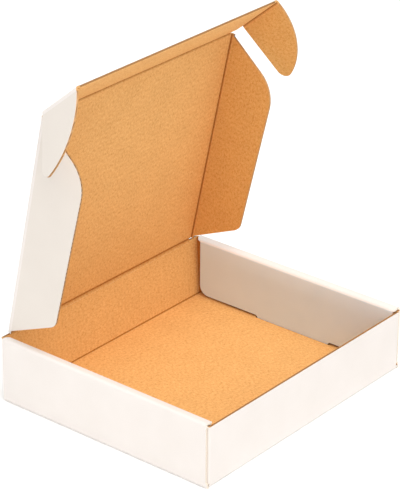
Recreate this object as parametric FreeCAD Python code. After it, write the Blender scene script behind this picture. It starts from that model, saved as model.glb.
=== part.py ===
"""Corrugated mailer box with a hinged lid, folded from one sheet of white-lined fluted board.

X runs across the box, Y from the front wall (low) to the hinge wall (high), Z up.
The origin is the middle of the tray's underside. Sizes are in millimetres, angles in degrees.
Every fold is modelled in the position in which the open box stands.
"""
import FreeCAD
import Part

import math
import os

from FreeCAD import Placement, Rotation, Vector

# Board
BOARD = 1.6                 # thickness of the E-flute board
LINER = 0.2                 # each facing sheet of the board
MEDIUM = 0.16               # the wavy sheet where it lies on a liner
FLUTE_PITCH = 3.25          # crest to crest of the wavy sheet
FLUTE_FOOT = 0.12           # half of the flat where the wave meets a liner
FOLD_INSIDE = 0.4           # inside radius of a creased fold
CREASE_GAP = 0.35           # running gap between two moving panels at their crease
CREASE_CRUSH = 2.4          # flutes crushed shut beside a crease

# Tray
TRAY_WIDTH = 199.0          # outside, across X
TRAY_DEPTH = 168.0          # outside, along Y
SIDE_HEIGHT = 45.0          # side walls' flat top above the tray's underside
FRONT_DROP = 3.0            # front wall's cut edge below the side walls' top
FRONT_HEIGHT = SIDE_HEIGHT - FRONT_DROP
WALL_END = 0.2              # side walls' ends, short of the tray's ends

# Double side walls: the flat strip on top and the panel turned in under it
STRIP_ROOM = 0.6            # inside it, beyond its two sheets, a corner flap and an ear
STRIP_WIDTH = 4 * BOARD + STRIP_ROOM        # outer face to inner face
STRIP_DROP = 0.8            # how much lower the strip's inner edge lies
STRIP_FRONT = 3.4           # strip's front end to the tray's front
STRIP_BACK = 4.6            # strip's back end to the tray's back
PANEL_LIFT = 1.6            # turned-in panel's lower edge above the floor
PANEL_CORNER = 7.0          # rounding of the panel's lower corners
TAB_FRONT = -32.0           # locking tab's front side, along Y
TAB_BACK = 30.0             # locking tab's back side, along Y
TAB_LEAN = 2.5              # how much each side of the tab leans in by its end
TAB_END = 0.3               # tab's end above the tray's underside
SLOT_CLEAR = 0.3            # floor slot around the tab, on each side

# Corner flaps of the front and hinge walls, trapped inside the double side walls
FLAP_LENGTH = 62.0          # end wall's outer face to the flap's free edge
FLAP_LIFT = 2.6             # flap's lower edge above the tray's underside
FLAP_TOP_CLEAR = 1.2        # flap's upper edge below its wall's cut edge
FLAP_CORNER = 8.0           # rounding of the flap's free corners
FLAP_CLEAR = 0.25           # between the side wall and the flap

# Lid
WING_CLEAR = 1.1            # shut lid's wing to the double side wall
LID_HALF_WIDTH = TRAY_WIDTH / 2 - STRIP_WIDTH - BOARD / 2 - WING_CLEAR
LID_SHORT = 5.0             # lid's length from crease to crease, under the tray's depth
LID_LENGTH = TRAY_DEPTH - LID_SHORT
LID_ANGLE = 78.0            # opened this far from shut
HINGE_HEIGHT = SIDE_HEIGHT  # hinge crease above the tray's underside
HINGE_LEAN = 3.0            # how far the hinge wall leans out at the crease

# Wings, the lid's side flaps: depths from their crease, places along it from the hinge
WING_ANGLE = 89.0           # folded this far in from the lid's plane
WING_LIFT_BACK = 8.0        # shut wing's free edge above the tray's underside, near the hinge
WING_LIFT_FRONT = 4.5       # the same near the front
WING_DEPTH_BACK = SIDE_HEIGHT - WING_LIFT_BACK
WING_DEPTH_FRONT = SIDE_HEIGHT - WING_LIFT_FRONT
WING_START = 1.2            # wing's foot at the crease
WING_BACK = 27.0            # free edge's hinge end
WING_SLANT = 25.0           # free edge's front end to the tuck flap's crease
WING_SHORT = 1.5            # slanted front side's end at the crease, to the tuck flap's crease
WING_FRONT = LID_LENGTH - WING_SLANT
WING_STOP = LID_LENGTH - WING_SHORT
WING_ROUND_BACK = 8.0       # rounding of the free corner near the hinge
WING_ROUND_FRONT = 24.0     # rounding of the free corner near the front

# Tuck flap
TUCK_ANGLE = 38.0           # folded this far in from the lid's plane
TUCK_LIFT = 2.5             # shut flap's free edge above the tray's underside
TUCK_LENGTH = SIDE_HEIGHT - TUCK_LIFT
EAR_CLEAR = 0.2             # shut ear to the turned-in panel that it slides in behind
TUCK_HALF_WIDTH = TRAY_WIDTH / 2 - STRIP_WIDTH + BOARD + EAR_CLEAR + BOARD / 2

# Locking ears: reaches from their crease, places along it from the tuck flap's crease
LEFT_EAR_ANGLE = 56.0       # folded this far in from the tuck flap's plane
RIGHT_EAR_ANGLE = 75.0
EAR_ROOT = 6.5              # straight side at the crease
EAR_SIDE_REACH = 38.0       # straight side's far end, out from the crease
EAR_SIDE_END = 4.8          # straight side's far end, along the crease
EAR_TIP_REACH = 44.5        # tip, out from the crease
EAR_TIP = 11.0              # tip, along the crease
EAR_BULGE_REACH = 33.0      # a point of the curved side, out from the crease
EAR_BULGE_SHORT = 12.7      # bulge's place, short of the tuck flap's free edge
EAR_BULGE = TUCK_LENGTH - EAR_BULGE_SHORT

# Values that follow from the sizes above
FOLD_MIDDLE = BOARD / 2 + FOLD_INSIDE
FOLD_OUTSIDE = BOARD + FOLD_INSIDE
CUT_BACK = BOARD / 2 + CREASE_GAP
HALF_WIDTH = TRAY_WIDTH / 2
HALF_DEPTH = TRAY_DEPTH / 2
PANEL_MIDDLE = HALF_WIDTH - STRIP_WIDTH + BOARD / 2
FLAP_MIDDLE = HALF_WIDTH - BOARD - FLAP_CLEAR - BOARD / 2
HINGE_Y = HALF_DEPTH - BOARD / 2 + HINGE_LEAN
HINGE_WALL_HEIGHT = HINGE_HEIGHT - CUT_BACK
STRIP_UNDERSIDE = SIDE_HEIGHT - STRIP_DROP - FOLD_OUTSIDE


# Folded board, drawn as a middle line with a thickness

def fold_at(before, corner, after):
    """The arc that rounds one corner of a folded line: its ends, centre, middle and turning side."""
    into = (corner - before).normalize()
    out = (after - corner).normalize()
    turn = math.atan2(into.x * out.y - into.y * out.x, into.dot(out))
    side = 1.0 if turn > 0 else -1.0
    reach = FOLD_MIDDLE * math.tan(abs(turn) / 2)
    start = corner - into * reach
    end = corner + out * reach
    centre = start + Vector(-into.y, into.x, 0) * side * FOLD_MIDDLE
    return {"start": start - centre, "end": end - centre, "middle": corner - centre, "centre": centre,
            "side": side}


def shifted(point, heading, shift):
    """A point moved to the left of a heading by shift."""
    return point + Vector(-heading.y, heading.x, 0).normalize() * shift


def side_edges(points, folds, shift):
    """Straight and round edges of one face of the folded board."""
    edges = []
    here = shifted(points[0], points[1] - points[0], shift)
    for fold in folds:
        radius = FOLD_MIDDLE - shift * fold["side"]
        start, middle, end = (fold["centre"] + Vector(fold[key]).normalize() * radius
                              for key in ("start", "middle", "end"))
        if here.distanceToPoint(start) > 1e-6:
            edges.append(Part.LineSegment(here, start).toShape())
        edges.append(Part.Arc(start, middle, end).toShape())
        here = end
    last = shifted(points[-1], points[-1] - points[-2], shift)
    edges.append(Part.LineSegment(here, last).toShape())
    return edges


def folded_section(line):
    """Face of a board whose middle line runs through the points, with creased folds between them."""
    points = [Vector(a, b, 0) for a, b in line]
    folds = [fold_at(*points[i - 1:i + 2]) for i in range(1, len(points) - 1)]
    half = BOARD / 2
    edges = side_edges(points, folds, half) + side_edges(points, folds, -half)
    for point, heading in ((points[0], points[1] - points[0]), (points[-1], points[-1] - points[-2])):
        cut = Part.LineSegment(shifted(point, heading, half), shifted(point, heading, -half))
        edges.append(cut.toShape())
    return Part.Face(Part.Wire(Part.__sortEdges__(edges)))


# Flat outlines

def tangent_arc(start, heading, end):
    """Arc that leaves start along heading and ends at end."""
    normal = Vector(-heading.y, heading.x, 0)
    chord = end - start
    centre = start + normal * (chord.Length ** 2 / (2 * normal.dot(chord)))
    middle = ((start - centre) + (end - centre)).normalize() * (start - centre).Length + centre
    return Part.Arc(start, middle, end).toShape()


def rounded_outline(corners):
    """Closed face through (a, b, radius) corners, each rounded by its radius."""
    points = [Vector(a, b, 0) for a, b, radius in corners]
    arcs = []
    for index, (a, b, radius) in enumerate(corners):
        point = points[index]
        back = (points[index - 1] - point).normalize()
        ahead = (points[(index + 1) % len(points)] - point).normalize()
        reach = radius / math.tan(back.getAngle(ahead) / 2) if radius else 0.0
        arcs.append((point + back * reach, -back, point + ahead * reach))
    edges = []
    for index, (start, heading, end) in enumerate(arcs):
        if start.distanceToPoint(end) > 1e-6:
            edges.append(tangent_arc(start, heading, end))
        following = arcs[(index + 1) % len(arcs)][0]
        if end.distanceToPoint(following) > 1e-6:
            edges.append(Part.LineSegment(end, following).toShape())
    return Part.Face(Part.Wire(Part.__sortEdges__(edges)))


# Pulling a drawn face into a solid along one axis

def along(face, low, high, rotation, axis):
    solid = face.extrude(Vector(0, 0, high - low))
    solid.Placement = Placement(axis * low, rotation)
    return solid


def along_x(face, low, high):
    """A face drawn as (Y, Z), from X = low to X = high."""
    rotation = Rotation(Vector(0, 1, 0), Vector(0, 0, 1), Vector(1, 0, 0), "XYZ")
    return along(face, low, high, rotation, Vector(1, 0, 0))


def along_y(face, low, high):
    """A face drawn as (X, Z), from Y = low to Y = high."""
    rotation = Rotation(Vector(1, 0, 0), Vector(0, 0, 1), Vector(0, -1, 0), "XYZ")
    return along(face, -high, -low, rotation, Vector(0, -1, 0))


def box(low, high):
    low, high = Vector(*low), Vector(*high)
    size = high - low
    return Part.makeBox(size.x, size.y, size.z, low)


def mirrored_in_x(solid):
    return solid.mirror(Vector(0, 0, 0), Vector(1, 0, 0))


# Tray

def floor():
    """Flat bottom, up to where its four sides start to fold, with the slots for the two tabs."""
    x, y = HALF_WIDTH - FOLD_OUTSIDE, HALF_DEPTH - FOLD_OUTSIDE
    plate = box((-x, -y, 0), (x, y, BOARD))
    half = BOARD / 2 + SLOT_CLEAR
    slot = box((PANEL_MIDDLE - half, TAB_FRONT - SLOT_CLEAR, -BOARD),
               (PANEL_MIDDLE + half, TAB_BACK + SLOT_CLEAR, 2 * BOARD))
    return plate.cut([slot, mirrored_in_x(slot)])


def side_wall():
    """Outer sheet of the right side wall, from the floor up to where the top strip starts to fold."""
    wall_x = HALF_WIDTH - BOARD / 2
    low_end = HALF_DEPTH - FOLD_OUTSIDE
    foot = folded_section([
        (HALF_WIDTH - FOLD_OUTSIDE, BOARD / 2),
        (wall_x, BOARD / 2),
        (wall_x, FOLD_OUTSIDE + BOARD)])
    sheet = box((HALF_WIDTH - BOARD, -HALF_DEPTH + WALL_END, FOLD_OUTSIDE),
                (HALF_WIDTH, HALF_DEPTH - WALL_END, SIDE_HEIGHT - FOLD_OUTSIDE))
    return along_y(foot, -low_end, low_end).fuse(sheet)


def top_strip():
    """Flat top of the right side wall, with its two folds and the start of the turned-in panel."""
    wall_x = HALF_WIDTH - BOARD / 2
    section = folded_section([
        (wall_x, SIDE_HEIGHT - FOLD_OUTSIDE - BOARD),
        (wall_x, SIDE_HEIGHT - BOARD / 2),
        (PANEL_MIDDLE, SIDE_HEIGHT - STRIP_DROP - BOARD / 2),
        (PANEL_MIDDLE, STRIP_UNDERSIDE - BOARD)])
    return along_y(section, -HALF_DEPTH + STRIP_FRONT, HALF_DEPTH - STRIP_BACK)


def turned_in_panel():
    """Inner sheet of the right side wall: rounded lower corners and a tab down into the floor's slot."""
    front, back = -HALF_DEPTH + STRIP_FRONT, HALF_DEPTH - STRIP_BACK
    low, high = BOARD + PANEL_LIFT, STRIP_UNDERSIDE
    sheet = rounded_outline([(front, high, 0), (front, low, PANEL_CORNER), (back, low, PANEL_CORNER),
                             (back, high, 0)])
    tab = rounded_outline([
        (TAB_FRONT, low + PANEL_LIFT, 0), (TAB_FRONT + TAB_LEAN, TAB_END, 0),
        (TAB_BACK - TAB_LEAN, TAB_END, 0), (TAB_BACK, low + PANEL_LIFT, 0)])
    inner, outer = PANEL_MIDDLE - BOARD / 2, PANEL_MIDDLE + BOARD / 2
    return along_x(sheet, inner, outer).fuse(along_x(tab, inner, outer))


def end_wall(height, lean):
    """The hinge wall, leaning out by lean at its cut edge, with its two corner flaps."""
    wall_y = HALF_DEPTH - BOARD / 2
    flap_bend = FLAP_MIDDLE + BOARD / 2 - FOLD_OUTSIDE
    foot = folded_section([(HALF_DEPTH - FOLD_OUTSIDE - BOARD, BOARD / 2), (wall_y, BOARD / 2),
                           (wall_y + lean, height)])
    wall = along_x(foot, -flap_bend, flap_bend)
    slope = lean / (height - BOARD / 2)
    low_shift = slope * (FLAP_LIFT - BOARD / 2)
    flap_top = height - FLAP_TOP_CLEAR
    top_shift = slope * (flap_top - BOARD / 2)
    corner = folded_section([(flap_bend, wall_y), (FLAP_MIDDLE, wall_y),
                             (FLAP_MIDDLE, HALF_DEPTH - FOLD_OUTSIDE - BOARD)])
    bend = corner.extrude(Vector(0, top_shift - low_shift, flap_top - FLAP_LIFT))
    bend.translate(Vector(0, low_shift, FLAP_LIFT))
    root, free = HALF_DEPTH - FOLD_OUTSIDE, HALF_DEPTH - FLAP_LENGTH
    flap = rounded_outline([
        (root + low_shift, FLAP_LIFT, 0), (root + top_shift, flap_top, 0),
        (free + top_shift, flap_top, FLAP_CORNER), (free + low_shift, FLAP_LIFT, FLAP_CORNER)])
    folded_end = bend.fuse(along_x(flap, FLAP_MIDDLE - BOARD / 2, FLAP_MIDDLE + BOARD / 2))
    return wall.fuse([folded_end, mirrored_in_x(folded_end)])


def tray():
    """Floor, double side walls, front wall and hinge wall: all one folded sheet."""
    side = side_wall().fuse([top_strip(), turned_in_panel()])
    front = end_wall(FRONT_HEIGHT, 0.0).mirror(Vector(0, 0, 0), Vector(0, 1, 0))
    whole = floor().fuse([side, mirrored_in_x(side), front, end_wall(HINGE_WALL_HEIGHT, HINGE_LEAN)])
    return whole.removeSplitter()


# Places of the moving panels, each relative to the panel that carries it

def crease_frame(origin, across, along_crease):
    """Placement whose X leads away from the crease and whose Y runs along it."""
    return Placement(origin, Rotation(across, along_crease, across.cross(along_crease), "XYZ"))


def lid_frame():
    """Lid panel: X across, Y away from the hinge crease, Z towards the lid's inner face."""
    angle = math.radians(LID_ANGLE)
    away = Vector(0, -math.cos(angle), math.sin(angle))
    return crease_frame(Vector(0, HINGE_Y, HINGE_HEIGHT), Vector(1, 0, 0), away)


def tuck_frame():
    """Tuck flap: X across, Y away from the front crease, Z towards its inner face."""
    angle = math.radians(TUCK_ANGLE)
    away = Vector(0, math.cos(angle), math.sin(angle))
    return lid_frame() * crease_frame(Vector(0, LID_LENGTH, 0), Vector(1, 0, 0), away)


def side_flap_frame(side, half_width, fold):
    """A flap on the left (-1) or right (1) edge of its parent: X out from the crease, Y along it."""
    angle = math.radians(fold)
    out = Vector(side * math.cos(angle), 0, math.sin(angle))
    return crease_frame(Vector(side * half_width, 0, 0), out, Vector(0, 1, 0))


# Moving panels

def crease_edge(start, end):
    """Rounded edge of a board that turns on a crease, its middle line from start to end."""
    heading = end - start
    return Part.makeCylinder(BOARD / 2, heading.Length, start, heading)


def board_slab(face):
    """A flat outline as a board, its middle plane at Z = 0."""
    slab = face.extrude(Vector(0, 0, BOARD))
    slab.translate(Vector(0, 0, -BOARD / 2))
    return slab


def panel_with_creases(half_width, length):
    """A panel that turns on its rounded lower edge and is cut back beside its three other creases."""
    side, end = half_width - CUT_BACK, length
    plate = board_slab(rounded_outline([(-side, 0, 0), (side, 0, 0), (side, end, 0), (-side, end, 0)]))
    return plate.fuse(crease_edge(Vector(-side, 0, 0), Vector(side, 0, 0)))


def flute_channels(first, last, start, end):
    """Hollows between the wave and the two liners, straight from X = start to X = end."""
    reach = BOARD / 2 - LINER
    base = FLUTE_PITCH / 2 - FLUTE_FOOT
    channels = []
    count = int((last - first) / FLUTE_PITCH)
    for index in range(2 * count):
        middle = first + (index + 1) * FLUTE_PITCH / 2
        up = 1 if index % 2 == 0 else -1
        corners = [(middle - base, up * reach), (middle + base, up * reach), (middle,
                   up * (MEDIUM - reach))]
        wire = Part.makePolygon([Vector(start, y, z) for y, z in corners + corners[:1]])
        channels.append(Part.Face(wire).extrude(Vector(end - start, 0, 0)))
    return channels


def fluted_flap(outline, crease_start, crease_end, reach):
    """Board of the given outline with open flutes across the crease, and a rounded crease edge."""
    slab = board_slab(outline)
    low, high = outline.BoundBox.YMin, outline.BoundBox.YMax
    channels = flute_channels(low - FLUTE_PITCH / 4, high + FLUTE_PITCH, CREASE_CRUSH, reach + BOARD)
    edge = crease_edge(Vector(0, crease_start, 0), Vector(0, crease_end, 0))
    return slab.cut(Part.makeCompound(channels)).fuse(edge)


def lid_panel():
    end = LID_LENGTH - CUT_BACK
    return panel_with_creases(LID_HALF_WIDTH, end)


def tuck_flap():
    """Wider than the lid by the open slots between the ears and the wings."""
    return panel_with_creases(TUCK_HALF_WIDTH, TUCK_LENGTH)


def wing():
    outline = rounded_outline([
        (0, WING_START, 0), (WING_DEPTH_BACK, WING_BACK, WING_ROUND_BACK),
        (WING_DEPTH_FRONT, WING_FRONT, WING_ROUND_FRONT), (0, WING_STOP, 0)])
    return fluted_flap(outline, WING_START, WING_STOP, WING_DEPTH_FRONT)


def ear():
    """Quarter-round ear: straight side, rounded tip and one long arc to the tuck flap's free corner."""
    root = Vector(0, EAR_ROOT, 0)
    side_end = Vector(EAR_SIDE_REACH, EAR_SIDE_END, 0)
    tip = Vector(EAR_TIP_REACH, EAR_TIP, 0)
    bulge = Vector(EAR_BULGE_REACH, EAR_BULGE, 0)
    corner = Vector(0, TUCK_LENGTH, 0)
    edges = [
        Part.LineSegment(root, side_end).toShape(),
        tangent_arc(side_end, (side_end - root).normalize(), tip),
        Part.Arc(tip, bulge, corner).toShape(),
        Part.LineSegment(corner, root).toShape()]
    outline = Part.Face(Part.Wire(edges))
    return fluted_flap(outline, EAR_ROOT, TUCK_LENGTH, EAR_TIP_REACH)


def placed(solid, placement):
    solid = solid.copy()
    solid.Placement = placement
    return solid


def pieces():
    """Every separate panel under its name, in the position in which the open box stands."""
    lid, tuck = lid_frame(), tuck_frame()
    side_wing, locking_ear = wing(), ear()
    return {
        "tray": tray(),
        "lid_panel": placed(lid_panel(), lid),
        "left_wing": placed(side_wing, lid * side_flap_frame(-1, LID_HALF_WIDTH, WING_ANGLE)),
        "right_wing": placed(side_wing, lid * side_flap_frame(1, LID_HALF_WIDTH, WING_ANGLE)),
        "tuck_flap": placed(tuck_flap(), tuck),
        "left_ear": placed(locking_ear, tuck * side_flap_frame(-1, TUCK_HALF_WIDTH, LEFT_EAR_ANGLE)),
        "right_ear": placed(locking_ear, tuck * side_flap_frame(1, TUCK_HALF_WIDTH, RIGHT_EAR_ANGLE))}


def main():
    os.makedirs("parts", exist_ok=True)
    for name, solid in pieces().items():
        box_size = solid.BoundBox
        print(f"{name}: {len(solid.Solids)} solid, valid {solid.isValid()}, volume {solid.Volume:.1f}, "
              f"{box_size.XLength:.1f} x {box_size.YLength:.1f} x {box_size.ZLength:.1f}")
        solid.exportStep(f"parts/{name}.step")


main()
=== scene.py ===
"""Looks of the corrugated mailer box: every panel as a real sheet of lined, fluted board.

Sizes are millimetres, as in the part's own drawing, and become metres when a mesh is written.
A board's flat coordinates are a, along its section or away from its crease, and b, along its width.
Its offset 0 is the middle of its thickness, and positive offsets lie towards the kraft face.
"""
import math

import bpy
import numpy as np
from mathutils import Matrix, Vector
from mathutils.geometry import delaunay_2d_cdt


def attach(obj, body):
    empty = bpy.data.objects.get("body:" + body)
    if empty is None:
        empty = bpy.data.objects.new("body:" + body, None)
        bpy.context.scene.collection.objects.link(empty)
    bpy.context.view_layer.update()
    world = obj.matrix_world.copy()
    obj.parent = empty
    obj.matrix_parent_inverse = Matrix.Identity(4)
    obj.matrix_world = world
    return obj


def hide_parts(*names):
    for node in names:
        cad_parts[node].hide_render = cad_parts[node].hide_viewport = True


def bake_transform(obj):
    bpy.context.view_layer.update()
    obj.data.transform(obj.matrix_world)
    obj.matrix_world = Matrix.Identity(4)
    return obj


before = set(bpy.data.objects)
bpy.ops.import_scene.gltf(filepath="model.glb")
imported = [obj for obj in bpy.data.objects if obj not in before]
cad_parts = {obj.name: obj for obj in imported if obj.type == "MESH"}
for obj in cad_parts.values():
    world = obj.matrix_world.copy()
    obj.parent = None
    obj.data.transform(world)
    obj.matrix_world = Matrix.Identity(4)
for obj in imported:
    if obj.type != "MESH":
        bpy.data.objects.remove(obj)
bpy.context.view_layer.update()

MM = 0.001
NEAR = 0.01                 # slack when a place is compared with an edge
SIDES = ((-1, "left"), (1, "right"))

# Board
BOARD = 1.6                 # thickness of the E-flute board
HALF = BOARD / 2
LINER = 0.24                # each facing sheet of the board
MEDIUM = 0.24               # the wavy sheet between them
FLUTE_PITCH = 3.25          # crest to crest of the wavy sheet
FLUTE_STEPS = 12            # mesh rows to one pitch
FLUTE_RECESS = 0.12         # wavy sheet's end, behind the liners' cut edges
FOLD_RADIUS = 1.2           # of the board's middle in a fold
FOLD_OUTSIDE = 2.0          # of its outer face
FOLD_STEP = 0.26            # mesh spacing round a fold
FOLD_MARGIN = 0.5           # painted shade on the kraft beside a fold, darker than the rest
CUT_STEP = 0.3              # set-back of the board's inside in a closed cut edge
PRESSED_EDGE = 0.35         # a pressed cut edge bulges from this far inside each face
PRESSED_BULGE = 0.12
MITRE_LIMIT = 1.6           # longest set-back at an outline's corner, as a multiple
SHARP_ANGLE = 32.0          # edges that turn by more are shaded sharp
ARC_STEP = 9.0              # degrees from point to point round a corner
SNAP = 1e-5                 # points of an outline closer than this are one
SHORTEST_ROW = 0.5          # wavy sheet leaves out rows shorter than this

# Tray
TRAY_WIDTH = 199.0          # outside, across X
TRAY_DEPTH = 168.0          # outside, along Y
SIDE_HEIGHT = 45.0          # side walls' flat top above the tray's underside
FRONT_HEIGHT = 42.0         # front wall's cut edge above it
SHEET_END = 0.2             # side sheets' ends, inside the end walls' outer faces
WALL_END = 1.2              # the same at the front, where the corner flap's bend is seen
WALL_END_RISE = 3.0         # where that stretch begins, up from the sheet's foot
WALL_END_SLOPE = 1.0        # length in which it goes over into the rest

# Double side walls: the flat strip on top and the panel turned in under it
STRIP_WIDTH = 7.0           # outer face to inner face
STRIP_DROP = 0.8            # how much lower the strip's inner edge lies
STRIP_EDGE = 0.4            # strip's corners stand this far inside its folds
STRIP_TIP = 1.2             # strip's front end, behind the sheet's end
STRIP_BACK_TIP = 0.3        # strip's back end, before the sheet's end
STRIP_FRONT = 2.6           # panel's front end to the tray's front
STRIP_BACK = 4.6            # panel's back end to the tray's back
STRIP_FRONT_ROUND = 1.0     # rounding of the strip's inner corners
STRIP_BACK_ROUND = 4.2
INSIDE_SHARE = 0.75         # how far round the strip's inner fold the panel's painted shade begins
PANEL_LIFT = 1.6            # turned-in panel's lower edge above the floor
PANEL_CORNER = 7.0          # rounding of the panel's lower corners
TAB_FRONT = -32.0           # locking tab's front side, along Y
TAB_BACK = 30.0             # locking tab's back side, along Y
TAB_LEAN = 2.5              # how much each side of the tab leans in by its end
TAB_END = 0.3               # tab's end above the tray's underside
TAB_ROOT_ROUND = 0.6
TAB_TIP_ROUND = 0.8
SLOT_CLEAR = 0.3            # floor slot around the tab, on each side

# Corner flaps of the front and hinge walls, trapped inside the double side walls
FLAP_LENGTH = 62.0          # end wall's outer face to the flap's free edge
FLAP_LIFT = 2.6             # flap's lower edge above the tray's underside
FLAP_TOP_CLEAR = 1.2        # flap's upper edge below its wall's cut edge
FLAP_STEP_START = 0.4       # beyond the bend its upper edge drops to that
FLAP_STEP = 1.2             # and does so in this length
FLAP_CORNER = 8.0           # rounding of the flap's free corners
FLAP_CLEAR = 0.25           # between the side wall and the flap

# Lid, from the hinge crease
HINGE_HEIGHT = 45.0         # hinge crease above the tray's underside
HINGE_LEAN = 3.0            # how far the hinge wall leans out at the crease
HINGE_CUT = 1.1             # hinge wall's cut edge beside the crease, below the crease's place
FLAP_BACK_CUT = 1.15        # back corner flaps' bends, below the crease's place
LID_ANGLE = 78.0            # opened this far from shut
LID_HALF_WIDTH = 90.6       # middle to a wing's crease
LID_LENGTH = 163.0          # hinge crease to tuck flap's crease

# Wings: depths from their crease, places along it from the hinge
WING_ANGLE = 89.0           # folded this far in from the lid's plane
WING_DEPTH_BACK = 37.0
WING_DEPTH_FRONT = 40.5
WING_START = 1.2            # wing's foot at the crease
WING_FOOT = 0.6             # the crease's own foot, just clear of the hinge wall
WING_BACK = 27.0            # free edge's hinge end
WING_FRONT = 138.0          # free edge's front end
WING_STOP = 161.5           # slanted front side's end at the crease
WING_ROUND_BACK = 8.0       # rounding of the free corners
WING_ROUND_FRONT = 24.0
WING_ARC_STEP = 6.0         # degrees from point to point round them

# Tuck flap and ears: reaches from an ear's crease, places along it from the tuck flap's crease
TUCK_ANGLE = 38.0           # folded this far in from the lid's plane
TUCK_LENGTH = 42.5          # crease to free edge
TUCK_HALF_WIDTH = 95.1      # middle to an ear's crease
EAR_ANGLES = {-1: 56.0, 1: 75.0}            # folded this far in from the tuck flap's plane
EAR_ROOT = 6.5              # ear's start at its crease
EAR_SIDE_REACH = 38.0       # end of the ear's straight side
EAR_SIDE_END = 4.8
EAR_TIP_REACH = 44.5        # ear's furthest point
EAR_TIP = 11.0
EAR_BULGE_REACH = 33.0      # a point of the long curve from there back to the crease
EAR_BULGE = 29.8

# Creases between moving panels
CREASE_REACH = 2.5          # a crease's own strip of board, to each side
CREASE_DENT = 0.45          # how deep the kraft face is pressed in along it
CREASE_DENT_WIDTH = 0.85
CREASE_SHADE_WIDTH = 2.1    # painted shade on the kraft to each side of the crease's line
CREASE_COLUMNS = 25         # mesh lines across a crease
CREASE_STEP = 4.0           # mesh spacing along it

# Camera
CAMERA_AZIMUTH = -50.718
CAMERA_ELEVATION = 26.049
CAMERA_ROLL = 0.406
CAMERA_DISTANCE = 1657.4
CAMERA_TARGET = (76.19, 66.32, 50.4)
CAMERA_FOCAL_PIXELS = 2451.1
IMAGE_WIDTH = 400
SENSOR = 36.0

# Light and the floor that the object stands on, in metres and watts
WORLD_STRENGTH = 0.52
WORLD_COLOR = (1.0, 0.99, 0.975, 1.0)
LAMP_COLOR = (1.0, 0.985, 0.96)
LAMP_AIM = (0, 0, 0.08)
LAMPS = [                   # name, place, width, height, power
    ("top", (-0.1, -0.6, 1.9), 1.0, 1.0, 19.0),
    ("front_left", (-1.05, -1.2, 1.2), 1.1, 1.1, 9.4),
    ("front_right", (0.475, -1.18, 1.41), 1.0, 1.0, 2.5),
    ("side", (-1.5, 0.15, 0.09), 0.8, 0.12, 3.3),
    ("back", (0.5, 1.7, 0.8), 1.2, 0.8, 9.0)]
STAGE_REACH = 6.0           # half of the stage floor's side
STAGE_COLOR = (0.92, 0.92, 0.92, 1)
STAGE_GLOW = 0.2            # added where the camera sees the floor, so that it shows white

# Values that follow from the sizes above
HALF_WIDTH = TRAY_WIDTH / 2
HALF_DEPTH = TRAY_DEPTH / 2
PANEL_MIDDLE = HALF_WIDTH - STRIP_WIDTH + HALF
FLAP_MIDDLE = HALF_WIDTH - BOARD - FLAP_CLEAR - HALF
FLAP_BEND = FLAP_MIDDLE + HALF - FOLD_OUTSIDE
HINGE_Y = HALF_DEPTH - HALF + HINGE_LEAN
HINGE_CREASE_HALF = LID_HALF_WIDTH - CREASE_REACH


# Folded middle lines

class FoldedLine:
    """A board's middle line in a plane: straight runs joined by arcs of the fold radius.

    A run is its beginning along the line, its length, its first point, its heading and its curvature.
    """

    def __init__(self, corners):
        corners = [Vector(c) for c in corners]
        self.runs = []
        here, begin = corners[0], 0.0
        for before, corner, after in zip(corners, corners[1:], corners[2:] + [None]):
            into = (corner - before).normalized()
            turn = reach = 0.0
            if after is not None:
                out = (after - corner).normalized()
                turn = math.atan2(into.x * out.y - into.y * out.x, into.dot(out))
                reach = FOLD_RADIUS * math.tan(abs(turn) / 2)
            heading = math.atan2(into.y, into.x)
            length = (corner - into * reach - here).length
            self.runs.append((begin, length, here, heading, 0.0))
            begin += length
            if after is not None:
                curve = math.copysign(1 / FOLD_RADIUS, turn)
                length = FOLD_RADIUS * abs(turn)
                self.runs.append((begin, length, corner - into * reach, heading, curve))
                begin += length
                here = corner + out * reach
        self.length = begin

    def at(self, distance, offset):
        """The point at a distance along the line, moved by offset to its left."""
        reached = [run for run in self.runs if distance >= run[0] - 1e-9]
        begin, _, start, heading, curve = reached[-1] if reached else self.runs[0]
        along = distance - begin
        if curve:
            turned = heading + curve * along
            point = start + Vector((math.sin(turned) - math.sin(heading),
                                    math.cos(heading) - math.cos(turned))) / curve
            heading = turned
        else:
            point = start + Vector((math.cos(heading), math.sin(heading))) * along
        return point + Vector((-math.sin(heading), math.cos(heading))) * offset

    def folds(self):
        """Start and end of each fold."""
        return [(run[0], run[0] + run[1]) for run in self.runs if run[4]]

    def rulings(self):
        """Distances at which the mesh needs a line across the board to follow the folds."""
        found = []
        for start, end in self.folds():
            found += list(np.linspace(start, end, max(3, int((end - start) / FOLD_STEP) + 1)))
            found += [start - FOLD_MARGIN, end + FOLD_MARGIN]
        return found


# Flat outlines as lists of points

def rounded(corners, step=ARC_STEP):
    """Points of an outline through (a, b, radius) corners, with the corners as arcs."""
    points = [Vector(c[:2]) for c in corners]
    outline = []
    for i, (_, _, radius) in enumerate(corners):
        point = points[i]
        if not radius:
            outline.append(point)
            continue
        back = (points[i - 1] - point).normalized()
        ahead = (points[(i + 1) % len(points)] - point).normalized()
        half = math.acos(max(-1.0, min(1.0, back.dot(ahead)))) / 2
        centre = point + (back + ahead).normalized() * (radius / math.sin(half))
        start = point + back * (radius / math.tan(half)) - centre
        end = point + ahead * (radius / math.tan(half)) - centre
        turn = start.angle_signed(end)
        count = max(2, int(abs(math.degrees(turn)) / step))
        for k in range(count + 1):
            angle = -turn * k / count
            outline.append(centre + Matrix.Rotation(angle, 2) @ start)
    return outline


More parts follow.
